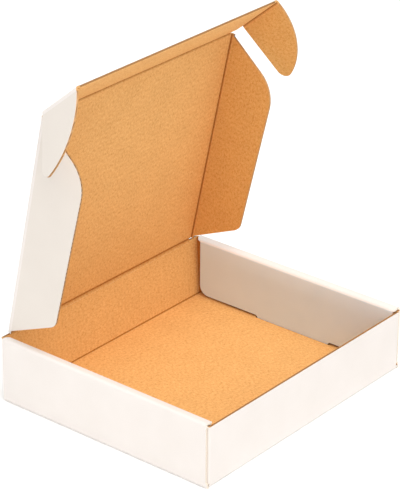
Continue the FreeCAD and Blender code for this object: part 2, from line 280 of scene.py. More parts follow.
def arc_through(start, middle, end, count=20):
    """Points of the arc through three points."""
    (ax, ay), (bx, by), (cx, cy) = start, middle, end
    d = 2 * (ax * (by - cy) + bx * (cy - ay) + cx * (ay - by))
    ux = ((ax**2 + ay**2) * (by - cy) + (bx**2 + by**2) * (cy - ay) + (cx**2 + cy**2) * (ay - by)) / d
    uy = ((ax**2 + ay**2) * (cx - bx) + (bx**2 + by**2) * (ax - cx) + (cx**2 + cy**2) * (bx - ax)) / d
    centre = Vector((ux, uy))
    first, last = Vector(start) - centre, Vector(end) - centre
    way = first.angle_signed(Vector(middle) - centre)
    turn = first.angle_signed(last)
    if way * turn < 0:
        turn -= math.copysign(2 * math.pi, turn)
    return [centre + Matrix.Rotation(-turn * k / count, 2) @ first for k in range(count + 1)]


def inside(points, outline):
    """Which of the points lie inside an outline, by counting crossings."""
    x, y = points[:, 0], points[:, 1]
    result = np.zeros(len(points), bool)
    for a, b in zip(outline, outline[1:] + outline[:1]):
        crosses = (a[1] > y) != (b[1] > y)
        with np.errstate(divide="ignore", invalid="ignore"):
            at = (b[0] - a[0]) * (y - a[1]) / (b[1] - a[1]) + a[0]
        result ^= crosses & (x < at)
    return result


def counter_clockwise(points, triangles):
    """The triangles, all turning the same way."""
    a, b, c = (points[triangles[:, k]] for k in range(3))
    area = (b - a)[:, 0] * (c - a)[:, 1] - (b - a)[:, 1] * (c - a)[:, 0]
    triangles[area < 0] = triangles[area < 0][:, ::-1]
    return triangles


def fill(outline, holes, rulings):
    """Points and triangles of a flat outline, cut along every ruling a = constant."""
    coords, edges = [], []
    for loop in [outline] + holes:
        first = len(coords)
        coords += [Vector(p[:2]) for p in loop]
        edges += [(first + i, first + (i + 1) % len(loop)) for i in range(len(loop))]
    low = min(p[1] for p in outline) - 1
    high = max(p[1] for p in outline) + 1
    for a in rulings:
        coords += [Vector((a, low)), Vector((a, high))]
        edges.append((len(coords) - 2, len(coords) - 1))
    verts, _, faces = delaunay_2d_cdt(coords, edges, [], 0, SNAP)[:3]
    points = np.array([v[:] for v in verts])
    triangles = np.array([f for f in faces if len(f) == 3])
    middles = points[triangles].mean(axis=1)
    keep = inside(middles, [tuple(p) for p in outline])
    for hole in holes:
        keep &= ~inside(middles, [tuple(p) for p in hole])
    used, triangles = np.unique(triangles[keep], return_inverse=True)
    return points[used], counter_clockwise(points[used], triangles.reshape(-1, 3))


# Meshes

def placed(made):
    """The object, put into the scene."""
    bpy.context.scene.collection.objects.link(made)
    return made


class Skin:
    """Collects faces with their flat coordinates and their materials, and writes one mesh object."""

    def __init__(self):
        self.verts = []
        self.faces = []
        self.flat = []
        self.slots = []

    def add(self, corners, flat, slot):
        first = len(self.verts)
        self.verts += corners
        self.faces.append(tuple(range(first, first + len(corners))))
        self.flat += flat
        self.slots.append(slot)

    def add_grid(self, rows, flat_rows, slot):
        """A grid of shared points; rows are lists of equal length."""
        first, width = len(self.verts), len(rows[0])
        for row in rows:
            self.verts += row
        for r in range(len(rows) - 1):
            for c in range(width - 1):
                corner = first + r * width + c
                self.faces.append((corner, corner + 1, corner + width + 1, corner + width))
                self.flat += [flat_rows[r][c], flat_rows[r][c + 1],
                              flat_rows[r + 1][c + 1], flat_rows[r + 1][c]]
                self.slots.append(slot)

    def add_triangles(self, verts, flat, triangles, slots):
        first = len(self.verts)
        self.verts += verts
        for triangle, slot in zip(triangles, slots):
            self.faces.append(tuple(first + int(i) for i in triangle))
            self.flat += [flat[int(i)] for i in triangle]
            self.slots.append(slot)

    def build(self, name, materials):
        mesh = bpy.data.meshes.new(name)
        mesh.from_pydata([tuple(v * MM) for v in self.verts], [], self.faces)
        layer = mesh.uv_layers.new(name="flat")
        layer.data.foreach_set("uv", np.array([c for uv in self.flat for c in uv], np.float32) * MM)
        for material in materials:
            mesh.materials.append(material)
        mesh.polygons.foreach_set("material_index", self.slots)
        mesh.polygons.foreach_set("use_smooth", [True] * len(self.faces))
        mesh.set_sharp_from_angle(angle=math.radians(SHARP_ANGLE))
        return placed(bpy.data.objects.new(name, mesh))


# Material slots of every board
WHITE, KRAFT, WHITE_EDGE, KRAFT_EDGE, SHADED_CORE, CREASE, FOLD_SHADE, INSIDE_SHADE, WING_SHADE, WHITE_WING_SHADE, FLUTE, TUCK_LIGHT = range(12)

# How a cut edge is stepped: (offset, set back from the cut, material of the face that follows)
# The recessed middle of a closed cut is the wavy sheet's brown, darkened with painted shade of the hollow
# flutes
CLOSED_CUT = [(-HALF, 0.0, WHITE_EDGE), (-HALF + LINER, 0.0, SHADED_CORE), (-HALF + LINER, CUT_STEP, SHADED_CORE),
              (HALF - LINER, CUT_STEP, SHADED_CORE), (HALF - LINER, 0.0, KRAFT_EDGE), (HALF, 0.0, None)]
# A cut along the flutes, pressed shut, by its kind
PRESSED_CUTS = {
    kind: [(-HALF, 0.0, edge), (-HALF + PRESSED_EDGE, -PRESSED_BULGE, edge),
           (HALF - PRESSED_EDGE, -PRESSED_BULGE, edge), (HALF, 0.0, None)]
    for kind, edge in (("pale", WHITE_EDGE), ("brown", KRAFT_EDGE))}


def boundary_of(points, triangles):
    """Outline edges of a filled shape, each with its ends' inward directions."""
    directed = [(int(i), int(j)) for a, b, c in triangles for i, j in ((a, b), (b, c), (c, a))]
    seen = set(directed)
    edges = [(i, j) for i, j in directed if (j, i) not in seen]
    inward = {}
    for i, j in edges:
        run = points[j] - points[i]
        normal = np.array([-run[1], run[0]]) / max(1e-9, np.linalg.norm(run))
        for k in (i, j):
            inward[k] = inward.get(k, np.zeros(2)) + normal
    for k, v in inward.items():
        length = np.linalg.norm(v)
        inward[k] = v / max(1e-9, length) * min(MITRE_LIMIT, 2 / max(0.5, length))
    return edges, inward


def board_layer(skin, shape, place, low, high, slots, cut, is_cut, flip, folds=(), inner=None):
    """One sheet between two offsets: its two faces and its cut edge where is_cut says so.

    The high face is painted in shade at the folds. The low face is painted in the inner panel's shade past
    inner.
    """
    points, triangles = shape
    flat = [tuple(p) for p in points]
    middles = points[triangles].mean(axis=1)[:, 0]
    low_slots = [INSIDE_SHADE if inner is not None and a > inner else slots[0] for a in middles]
    high_slots = [FOLD_SHADE if any(s - FOLD_MARGIN < a < e + FOLD_MARGIN for s, e in folds) else slots[1]
                  for a in middles]
    for offset, face_slots, up in ((low, low_slots, False), (high, high_slots, True)):
        order = triangles if up != flip else triangles[:, ::-1]
        skin.add_triangles([place(p[0], p[1], offset) for p in points], flat, order, face_slots)
    edges, inward = boundary_of(points, triangles)
    for i, j in edges:
        middle = (points[i] + points[j]) / 2
        kind = is_cut(middle[0], middle[1])
        if not kind:
            continue
        profile = PRESSED_CUTS.get(kind, cut)
        for (o0, in0, slot), (o1, in1, _) in zip(profile, profile[1:]):
            steps = [(i, in0, o0), (j, in0, o0), (j, in1, o1), (i, in1, o1)]
            if flip:
                steps.reverse()
            spots = [(points[k] + inward[k] * back, offset) for k, back, offset in steps]
            skin.add([place(p[0], p[1], offset) for p, offset in spots],
                     [(p[0] + p[1], offset) for p, offset in spots], slot)


def board(name, outline, place, body, nodes=(), holes=(), line=None, flip=False,
          is_cut=lambda a, b: True, inner=None, kraft=KRAFT):
    """A board of full thickness, flat or folded, with stepped cut edges."""
    shape = fill(outline, list(holes), line.rulings() if line else [])
    folds = line.folds() if line else ()
    skin = Skin()
    board_layer(skin, shape, place, -HALF, HALF, (WHITE, kraft), CLOSED_CUT, is_cut, flip, folds, inner)
    finished(skin, name, body, nodes)


def finished(skin, name, body, nodes):
    """The skin as an object with the board's materials, hiding the nodes it stands for and hung on its body
    where these are given.
    """
    piece = skin.build(name, BOARD_MATERIALS)
    if nodes:
        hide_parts(*nodes)
    if body:
        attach(piece, body)
    return piece


def fluted_board(name, outline, place, body, node, root, flip, by_white):
    """A board with real hollow flutes: two liners and a wavy sheet between them, open where it is cut."""
    shape = fill(outline, [], [])
    skin = Skin()

    def is_cut(a, b):
        return a > root + NEAR

    # Both faces of the wings and ears are painted in shade
    board_layer(skin, shape, place, -HALF, -HALF + LINER, (WHITE_WING_SHADE, by_white),
                [(-HALF, 0.0, WHITE_EDGE), (-HALF + LINER, 0.0, None)], is_cut, flip)
    board_layer(skin, shape, place, HALF - LINER, HALF, (FLUTE, WING_SHADE),
                [(HALF - LINER, 0.0, KRAFT_EDGE), (HALF, 0.0, None)], is_cut, flip)
    wave(skin, outline, place, by_white)
    finished(skin, name, body, [node])


def spans(outline, b):
    """Lowest and highest a of an outline at a given b."""
    found = []
    for p, q in zip(outline, outline[1:] + outline[:1]):
        if (p[1] > b) != (q[1] > b):
            found.append(p[0] + (q[0] - p[0]) * (b - p[1]) / (q[1] - p[1]))
    return (min(found), max(found)) if len(found) > 1 else None


def wave(skin, outline, place, by_white):
    """The wavy sheet inside a board, straight along a and waving along b, cut just inside the outline."""
    swing = HALF - LINER - MEDIUM / 2
    low, high = min(p[1] for p in outline), max(p[1] for p in outline)
    top, bottom, flat = [], [], []
    step = FLUTE_PITCH / FLUTE_STEPS
    for k in range(1, int((high - low) / step)):
        b = low + k * step
        span = spans(outline, b)
        if span is None or span[1] - span[0] < SHORTEST_ROW:
            continue
        start, end = span[0], span[1] - FLUTE_RECESS
        middle = swing * math.cos(2 * math.pi * b / FLUTE_PITCH)
        top.append([place(start, b, middle + MEDIUM / 2), place(end, b, middle + MEDIUM / 2)])
        bottom.append([place(end, b, middle - MEDIUM / 2), place(start, b, middle - MEDIUM / 2)])
        flat.append([(start, b), (end, b)])
    skin.add_grid(top, flat, FLUTE)
    skin.add_grid(bottom, flat, by_white)
    cut = [[t[1], b[0]] for t, b in zip(top, bottom)]
    skin.add_grid(cut, flat, FLUTE)


def crease(name, corners, place, start, end):
    """The strip of board bent between two panels, pressed in along the crease on its kraft face."""
    line = FoldedLine(corners)
    middle = line.length / 2
    distances = np.linspace(0, line.length, CREASE_COLUMNS)
    count = max(2, int((end - start) / CREASE_STEP))
    places = np.linspace(start, end, count + 1)
    skin = Skin()

    def offset_of(distance, face):
        if face < 0:
            return -HALF
        return HALF - CREASE_DENT * math.exp(-((distance - middle) / CREASE_DENT_WIDTH) ** 2)

    def point(distance, b, face):
        p = line.at(distance, offset_of(distance, face))
        return place(p.x, p.y, b)

    for face, slot in ((-1, WHITE), (1, CREASE)):
        rows = [[point(d, b, face) for d in distances] for b in places]
        flat = [[(d - middle, b) for d in distances] for b in places]
        skin.add_grid(rows, flat, slot)
    for b in (start, end):
        rows = [[point(d, b, face) for d in distances] for face in (-1, 1)]
        flat = [[(d, face * HALF) for d in distances] for face in (-1, 1)]
        skin.add_grid(rows, flat, KRAFT_EDGE)
    piece = finished(skin, name, None, ())
    from_here, to_here = line.at(0, 0), line.at(line.length, 0)
    half_way = (start + end) / 2
    tuple(place(from_here.x, from_here.y, half_way) * MM)
    tuple(place(to_here.x, to_here.y, half_way) * MM)
    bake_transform(piece)


# Materials

def shader(name, roughness, specular):
    """A new material, with its node tree and its surface node."""
    material = bpy.data.materials.new(name)
    material.use_nodes = True
    tree = material.node_tree
    surface = tree.nodes["Principled BSDF"]
    surface.inputs["Roughness"].default_value = roughness
    surface.inputs["Specular IOR Level"].default_value = specular
    return material, tree, surface


def node(tree, kind, **values):
    """A new node; each value is an input's where an input has that name, else a property's."""
    made = tree.nodes.new(kind)
    for key, value in values.items():
        if key in made.inputs:
            made.inputs[key].default_value = value
        else:
            setattr(made, key, value)
    return made


def flat_millimetres(tree, stretch=(1.0, 1.0, 1.0)):
    """The sheet's own flat coordinates, in millimetres."""
    place = node(tree, "ShaderNodeUVMap", uv_map="flat")
    scale = node(tree, "ShaderNodeMapping")
    scale.inputs["Scale"].default_value = [s / MM for s in stretch]
    tree.links.new(place.outputs["UV"], scale.inputs["Vector"])
    return scale.outputs["Vector"]


def noise(tree, vector, scale, detail=3.0, roughness=0.55):
    """Noise of 0 to 1; the scale is per millimetre of the sheet."""
    made = node(tree, "ShaderNodeTexNoise", Scale=scale, Detail=detail, Roughness=roughness)
    tree.links.new(vector, made.inputs["Vector"])
    return made.outputs["Fac"]


def ramp(tree, value, stops):
    """Colours from (place, colour) stops along a value of 0 to 1."""
    made = tree.nodes.new("ShaderNodeValToRGB")
    while len(made.color_ramp.elements) < len(stops):
        made.color_ramp.elements.new(0.5)
    for element, (place, color) in zip(made.color_ramp.elements, stops):
        element.position = place
        element.color = (*color, 1.0)
    tree.links.new(value, made.inputs["Fac"])
    return made.outputs["Color"]


def mixed(tree, a, b, factor, how="MIX"):
    """Mix of two colours (inputs 6 and 7) by a factor; each may be a socket or a plain value."""
    made = node(tree, "ShaderNodeMix", data_type="RGBA", blend_type=how)
    for socket, value in ((made.inputs[6], a), (made.inputs[7], b), (made.inputs[0], factor)):
        if isinstance(value, bpy.types.NodeSocket):
            tree.links.new(value, socket)
        elif isinstance(value, tuple):
            socket.default_value = (*value, 1.0)
        else:
            socket.default_value = value
    return made.outputs[2]


def math_node(tree, operation, a, b=0.0):
    """A sum, product or the like of two values; each may be a socket or a number."""
    made = node(tree, "ShaderNodeMath", operation=operation)
    for socket, value in zip(made.inputs, (a, b)):
        if isinstance(value, bpy.types.NodeSocket):
            tree.links.new(value, socket)
        else:
            socket.default_value = value
    return made.outputs[0]


def mixed_values(tree, a, b, share):
    """Two values mixed, with b's share."""
    first = math_node(tree, "MULTIPLY", a, 1 - share)
    return math_node(tree, "ADD", first, math_node(tree, "MULTIPLY", b, share))


def flat_axis(tree, axis):
    """One of the sheet's own flat coordinates, in metres."""
    place = node(tree, "ShaderNodeUVMap", uv_map="flat")
    split = tree.nodes.new("ShaderNodeSeparateXYZ")
    tree.links.new(place.outputs["UV"], split.inputs[0])
    return split.outputs[axis]


def washboard(tree):
    """A faint ripple of the liner over the flutes, 0 to 1."""
    phase = math_node(tree, "MULTIPLY", flat_axis(tree, "Y"), 2 * math.pi / (FLUTE_PITCH * MM))
    return math_node(tree, "MULTIPLY_ADD", math_node(tree, "COSINE", phase), 0.5)


def bump(tree, surface, height, distance, strength):
    """Fine relief of the paper; the distance is in millimetres."""
    made = node(tree, "ShaderNodeBump", Distance=distance * MM, Strength=strength)
    tree.links.new(height, made.inputs["Height"])
    tree.links.new(made.outputs["Normal"], surface.inputs["Normal"])


KRAFT_LIGHT = (0.95, 0.61, 0.26)
KRAFT_MID = (0.88, 0.495, 0.180)
KRAFT_DARK = (0.70, 0.32, 0.090)
WHITE_PAPER = (0.885, 0.838, 0.808)
WHITE_SHADE = (0.86, 0.812, 0.778)
KRAFT_FLECK = (1.0, 0.70, 0.36)
KRAFT_CLOUD = (0.93, 0.91, 0.89)
WHITE_CLOUD = (0.97, 0.965, 0.96)
RIPPLE_SHADE = (0.965, 0.955, 0.945)
# Dark end of the wavy sheet's cut colour, with painted shade of the hollow flutes
HOLLOW_SHADE_BROWN = (0.30, 0.145, 0.055)
ONE = (1.0, 1.0, 1.0)
NONE = (0.0, 0.0, 0.0)


def kraft_paper(name, painted_light_and_shade=None, where=None):
    """Unbleached liner: clouds, fibres along the flutes, specks and a faint washboard; with painted shade,
    and on the tuck flap painted light, multiplied in where asked.
    """
    material, tree, surface = shader(name, 0.92, 0.15)
    flat = flat_millimetres(tree)
    clouds = noise(tree, flat, 0.055, 3.0)
    blotches = noise(tree, flat_millimetres(tree, (1.25, 0.8, 1.0)), 0.55, 3.0, 0.6)
    fibres = noise(tree, flat_millimetres(tree, (2.6, 0.75, 1.0)), 0.9, 5.0, 0.65)
    fine = noise(tree, flat, 2.2, 2.0, 0.6)
    color = ramp(tree, mixed_values(tree, fibres, blotches, 0.42), [
        (0.36, KRAFT_DARK), (0.50, KRAFT_MID), (0.64, KRAFT_LIGHT)])
    shade = ramp(tree, clouds, [(0.3, KRAFT_CLOUD), (0.7, ONE)])
    color = mixed(tree, color, shade, 0.8, "MULTIPLY")
    specks = ramp(tree, noise(tree, flat_millimetres(tree, (1.7, 0.6, 1.0)), 1.3, 1.0), [
        (0.70, NONE), (0.76, ONE)])
    color = mixed(tree, color, KRAFT_DARK, math_node(tree, "MULTIPLY", specks, 0.35))
    flecks = ramp(tree, noise(tree, flat_millimetres(tree, (0.7, 1.3, 1.0)), 1.1, 2.0), [
        (0.60, NONE), (0.70, ONE)])
    color = mixed(tree, color, KRAFT_FLECK, math_node(tree, "MULTIPLY", flecks, 0.45))
    ripple = math_node(tree, "MULTIPLY", washboard(tree), 0.6)
    color = mixed(tree, color, RIPPLE_SHADE, ripple, "MULTIPLY")
    if painted_light_and_shade:
        color = mixed(tree, color, painted_light_and_shade, where(tree) if where else 1.0, "MULTIPLY")
    tree.links.new(color, surface.inputs["Base Color"])
    bump(tree, surface, mixed_values(tree, fibres, fine, 0.4), 0.05, 0.6)
    return material


def crease_shade(tree):
    """1 on the crease's own line, falling to 0 a little beside it."""
    away = math_node(tree, "ABSOLUTE", flat_axis(tree, "X"))
    scaled = math_node(tree, "MULTIPLY", away, 1 / (CREASE_SHADE_WIDTH * MM))
    return math_node(tree, "SUBTRACT", 1.0, math_node(tree, "MINIMUM", scaled, 1.0))


def white_paper(name, light, shade):
    """Clay-coated white liner, smooth, with the flutes just showing through."""
    material, tree, surface = shader(name, 0.58, 0.3)
    flat = flat_millimetres(tree)
    clouds = noise(tree, flat, 0.03, 2.0)
    fine = noise(tree, flat, 1.4, 3.0, 0.6)
    color = ramp(tree, clouds, [(0.3, shade), (0.65, light)])
    grain = ramp(tree, fine, [(0.3, WHITE_CLOUD), (0.7, ONE)])
    color = mixed(tree, color, grain, 0.7, "MULTIPLY")
    tree.links.new(color, surface.inputs["Base Color"])
    ripple = math_node(tree, "MULTIPLY", washboard(tree), 0.5)
    relief = math_node(tree, "ADD", ripple, math_node(tree, "MULTIPLY", fine, 0.3))
    bump(tree, surface, relief, 0.025, 0.5)
    return material


def cut_paper(name, light, dark):
    """A liner's or the wavy sheet's raw cut edge."""
    material, tree, surface = shader(name, 0.95, 0.1)
    grain = noise(tree, flat_millimetres(tree), 1.6, 4.0, 0.7)
    tree.links.new(ramp(tree, grain, [(0.35, dark), (0.65, light)]), surface.inputs["Base Color"])
    bump(tree, surface, grain, 0.06, 0.7)
    return material


# In the order of the slots above
BOARD_MATERIALS = [
    white_paper("white_liner", WHITE_PAPER, WHITE_SHADE),
    kraft_paper("kraft_liner"),
    cut_paper("white_liner_cut", (0.86, 0.80, 0.73), (0.78, 0.68, 0.56)),
    cut_paper("kraft_liner_cut", (0.72, 0.42, 0.18), (0.55, 0.29, 0.11)),
    # The wavy sheet's own brown, darkened further with painted shade of the hollow flutes
    cut_paper("wavy_sheet_shade", (0.46, 0.24, 0.095), HOLLOW_SHADE_BROWN),
    # Painted shade along each crease's line on its kraft face
    kraft_paper("kraft_crease_shade", (0.50, 0.33, 0.17), crease_shade),
    # Painted shade on the kraft at the folds and on the corner flaps
    kraft_paper("kraft_fold_shade", (0.60, 0.44, 0.27)),
    # Painted shade on the turned-in panels' white liner, cooled to offset the kraft's warm bounce light
    white_paper("white_liner_inside_shade", (0.72, 0.82, 0.90), (0.69, 0.79, 0.87)),
    # Painted shade on the kraft faces of the wings and ears
    kraft_paper("kraft_wing_shade", (0.88, 0.86, 0.78)),
    # Painted shade on the white faces of the wings and ears
    white_paper("white_wing_shade", (0.82, 0.765, 0.71), (0.80, 0.745, 0.69)),
    cut_paper("flute_wall", (0.80, 0.52, 0.27), (0.66, 0.38, 0.17)),
    # Painted light on the tuck flap's kraft face
    kraft_paper("kraft_tuck_light", (1.06, 1.13, 1.22))]


# Places of folded sheets

def lean_at(height):
    """How far the hinge wall has leaned out at a height."""
    return HINGE_LEAN * (height - HALF) / (HINGE_HEIGHT - HALF)


def across(line, side):
    """A section drawn as (X, Z), swept along Y; side -1 is the left wall."""
    def place(a, b, offset):
        p = line.at(a, offset)
        return Vector((side * p.x, b, p.y))
    return place


def upright(line, side, lean):
    """A section drawn as (Y, Z), swept along X; side -1 is the front wall."""
    def place(a, b, offset):
        p = line.at(a, offset)
        return Vector((b, side * (p.x + (lean_at(p.y) if lean else 0.0)), p.y))
    return place


def around(line, side, end, lean):
    """A section drawn as (X, Y), swept along Z: a corner flap."""
    def place(a, b, offset):
        p = line.at(a, offset)
        return Vector((side * p.x, end * (p.y + (lean_at(b) if lean else 0.0)), b))
    return place


def panel_frame(origin, out, along):
    """A panel's frame, from its origin and the directions of its first two axes."""
    out, along = Vector(out), Vector(along)
    third = out.cross(along)
    return Matrix(((out.x, along.x, third.x, origin[0]), (out.y, along.y, third.y, origin[1]),
                   (out.z, along.z, third.z, origin[2]), (0, 0, 0, 1)))


def turned(degrees):
    """Cosine and sine of an angle."""
    return math.cos(math.radians(degrees)), math.sin(math.radians(degrees))


LID_C, LID_S = turned(LID_ANGLE)
TUCK_C, TUCK_S = turned(TUCK_ANGLE)
LID_FRAME = panel_frame((0, HINGE_Y, HINGE_HEIGHT), (1, 0, 0), (0, -LID_C, LID_S))
TUCK_FRAME = LID_FRAME @ panel_frame((0, LID_LENGTH, 0), (1, 0, 0), (0, TUCK_C, TUCK_S))


def side_frame(parent, side, half_width, degrees):
    """Frame of a flap that is folded in along a panel's left (side -1) or right edge."""
    c, s = turned(degrees)
    return parent @ panel_frame((side * half_width, 0, 0), (side * c, 0, s), (0, 1, 0))


def on(frame_matrix, kraft=1):
    """A flat panel in its own frame; kraft -1 where the frame's third axis points to the white face."""
    def place(a, b, offset):
        return frame_matrix @ Vector((a, b, kraft * offset))
    return place


# Tray

def floor():
    x, y = HALF_WIDTH - FOLD_OUTSIDE, HALF_DEPTH - FOLD_OUTSIDE
    half = HALF + SLOT_CLEAR
    front, back = TAB_FRONT - SLOT_CLEAR, TAB_BACK + SLOT_CLEAR
    slots = []
    for side, _ in SIDES:
        low, high = sorted((side * (PANEL_MIDDLE - half), side * (PANEL_MIDDLE + half)))
        slots.append([Vector((low, front)), Vector((high, front)), Vector((high, back)), Vector((low, back))])
    outline = rounded([(-x, -y, 0), (x, -y, 0), (x, y, 0), (-x, y, 0)])

    # Only the slots are cut: the floor's own sides go on in the walls
    def is_slot(a, b):
        return abs(a) < x - 1 and abs(b) < y - 1

    def place(a, b, offset):
        return Vector((a, b, HALF + offset))
    board("tray_floor", outline, place, "tray", ["tray"], holes=slots, is_cut=is_slot)


def side_sheet(side, name):
    """Side wall, top strip, turned-in panel and tab in one piece."""
    wall_x = HALF_WIDTH - HALF
    line = FoldedLine([
        (HALF_WIDTH - FOLD_OUTSIDE, HALF), (wall_x, HALF), (wall_x, SIDE_HEIGHT - HALF),
        (PANEL_MIDDLE, SIDE_HEIGHT - STRIP_DROP - HALF), (PANEL_MIDDLE, TAB_END)])
    folds = line.folds()
    panel_bend, panel_begin = folds[2]
    floor_end = HALF_DEPTH - FOLD_OUTSIDE
    sheet_end, wall_end = HALF_DEPTH - SHEET_END, HALF_DEPTH - WALL_END
    strip_start, strip_end = folds[1][0], panel_begin - STRIP_EDGE
    tip, back_tip = sheet_end - STRIP_TIP, sheet_end - STRIP_BACK_TIP
    front, back = -HALF_DEPTH + STRIP_FRONT, HALF_DEPTH - STRIP_BACK
    low_edge = line.length - (BOARD + PANEL_LIFT - TAB_END)
    outline = rounded([
        (0, -floor_end, 0), (0, -sheet_end, 0), (WALL_END_RISE, -sheet_end, 0),
        (WALL_END_RISE + WALL_END_SLOPE, -wall_end, 0), (strip_start - WALL_END_SLOPE, -wall_end, 0),
        (strip_start, -sheet_end, 0), (strip_start + STRIP_EDGE, -tip, STRIP_EDGE),
        (strip_end, -tip, STRIP_FRONT_ROUND), (strip_end, front, 0),
        (low_edge, front, PANEL_CORNER), (low_edge, TAB_FRONT, TAB_ROOT_ROUND),
        (line.length, TAB_FRONT + TAB_LEAN, TAB_TIP_ROUND), (line.length, TAB_BACK - TAB_LEAN, TAB_TIP_ROUND),
        (low_edge, TAB_BACK, TAB_ROOT_ROUND), (low_edge, back, PANEL_CORNER), (strip_end, back, 0),
        (strip_end, back_tip, STRIP_BACK_ROUND), (strip_start, sheet_end, 0),
        (0, sheet_end, 0), (0, floor_end, 0)])

    # The foot goes on in the floor, and both ends are cut along the flutes
    def is_cut(a, b):
        if a < NEAR and abs(b) < floor_end:
            return False
        return "pale" if b < front + 1 or b > back - 1 else True
    # Past its fold, the turned-in panel's white face is painted in shade
    board(name, outline, across(line, side), "tray", line=line, flip=side < 0, is_cut=is_cut,
          inner=panel_bend + INSIDE_SHARE * (panel_begin - panel_bend))


def end_sheet(side, height, lean, name):
    """Front wall (side -1) or hinge wall (side 1), up to its cut edge or its crease."""
    wall_y = HALF_DEPTH - HALF
    line = FoldedLine([(HALF_DEPTH - FOLD_OUTSIDE, HALF), (wall_y, HALF), (wall_y, height)])
    end, foot = FLAP_BEND, HALF_WIDTH - FOLD_OUTSIDE
    top = line.length
    bend_start = line.folds()[0][1] + FLAP_LIFT - FOLD_OUTSIDE
    notch = top - (CREASE_REACH - HINGE_CUT) if lean else top
    notch_half = HINGE_CREASE_HALF if lean else 0.0

    # Cut below the corner flaps' bends and along the upper edge, but not where the hinge crease goes on
    def is_cut(a, b):
        if a < NEAR:
            return abs(b) > end + NEAR
        if a > notch - NEAR:
            return abs(b) > notch_half - NEAR or not lean
        return a < bend_start + NEAR
    corners = [(0, -foot, 0), (bend_start, -foot, 0), (bend_start, -end, 0), (top, -end, 0)]
    if lean:
        corners += [(top, -notch_half, 0), (notch, -notch_half, 0),
                    (notch, notch_half, 0), (top, notch_half, 0)]
    corners += [(top, end, 0), (bend_start, end, 0), (bend_start, foot, 0), (0, foot, 0)]
    place = upright(line, side, lean)
    board(name, rounded(corners), place, "tray", line=line, flip=side > 0, is_cut=is_cut)


def with_points(outline, extra):
    """The same outline with more points on its straight sides."""
    result = []
    for p, q in zip(outline, outline[1:] + outline[:1]):
        result.append(p)
        run = Vector(q) - Vector(p)
        inside_run = [Vector(e) for e in extra
                      if run.length > 1e-6 and abs(run.cross(Vector(e) - p)) / run.length < 1e-6
                      and 0 < (Vector(e) - p).dot(run) < run.length_squared]
        result += sorted(inside_run, key=lambda e: (e - p).dot(run))
    return result


def corner_flap(side, end, height, lean, name):
    """Flap of the front or hinge wall, folded round the corner into the double side wall."""
    wall_y = HALF_DEPTH - HALF
    line = FoldedLine([(FLAP_BEND, wall_y), (FLAP_MIDDLE, wall_y), (FLAP_MIDDLE, HALF_DEPTH - FLAP_LENGTH)])
    top = height - FLAP_TOP_CLEAR
    bent = line.folds()[0][1] + FLAP_STEP_START
    outline = rounded([
        (0, FLAP_LIFT, 0), (line.length, FLAP_LIFT, FLAP_CORNER), (line.length, top, FLAP_CORNER),
        (bent + FLAP_STEP, top, 0), (bent, height, 0), (0, height, 0)])

    # The kraft face lies to the line's right
    def flipped(a, b, offset):
        return around(line, side, end, lean)(a, b, -offset)

    def is_cut(a, b):
        return "brown" if b > top - NEAR and a < FLAP_CORNER else a > NEAR
    # The flap's whole kraft face is painted in shade, deep in the double side wall
    board(name, outline, flipped, "tray", line=line, flip=side * end > 0, is_cut=is_cut, kraft=FOLD_SHADE)


# Moving panels

def lid():
    """The lid's panel, between the four creases' own strips."""
    x = LID_HALF_WIDTH - CREASE_REACH
    stop = LID_LENGTH - CREASE_REACH
    outline = rounded([(-x, CREASE_REACH, 0), (x, CREASE_REACH, 0), (x, stop, 0), (-x, stop, 0)])
    board("lid_sheet", outline, on(LID_FRAME), "lid", ["lid_panel"], is_cut=lambda a, b: False)


def tuck():
    """The tuck flap's panel, between its crease and its ears' creases."""
    x, lid_x = TUCK_HALF_WIDTH - CREASE_REACH, LID_HALF_WIDTH - CREASE_REACH
    foot = CREASE_REACH
    outline = rounded([(-x, foot, 0), (x, foot, 0), (x, TUCK_LENGTH, 0), (-x, TUCK_LENGTH, 0)])
    outline = with_points(outline, [(-lid_x, foot), (lid_x, foot), (-x, EAR_ROOT), (x, EAR_ROOT)])

    def is_cut(a, b):
        if b > TUCK_LENGTH - NEAR:
            return True
        if abs(a) > x - NEAR:
            return b < EAR_ROOT
        return abs(a) > lid_x
    # Its kraft face is painted lighter: painted light
    board("tuck_sheet", outline, on(TUCK_FRAME), "tuck_flap", ["tuck_flap"], is_cut=is_cut, kraft=TUCK_LIGHT)


def wing_outline():
    """Depth and place of a wing's corners, from where its crease's strip ends."""
    slant = (WING_BACK - WING_START) / WING_DEPTH_BACK
    front_slant = (WING_STOP - WING_FRONT) / WING_DEPTH_FRONT
    root = CREASE_REACH
    return rounded([
        (root, WING_START + slant * root, 0), (WING_DEPTH_BACK, WING_BACK, WING_ROUND_BACK),
        (WING_DEPTH_FRONT, WING_FRONT, WING_ROUND_FRONT), (root, WING_STOP - front_slant * root, 0)],
        WING_ARC_STEP)


def wing(side, name):
    place = on(side_frame(LID_FRAME, side, LID_HALF_WIDTH, WING_ANGLE), side)
    # The left wing's flute walls by the white liner take the dark core colour: painted shade
    by_white = SHADED_CORE if side < 0 else FLUTE
    fluted_board(f"{name}_sheet", wing_outline(), place, name, name, CREASE_REACH, side < 0, by_white)


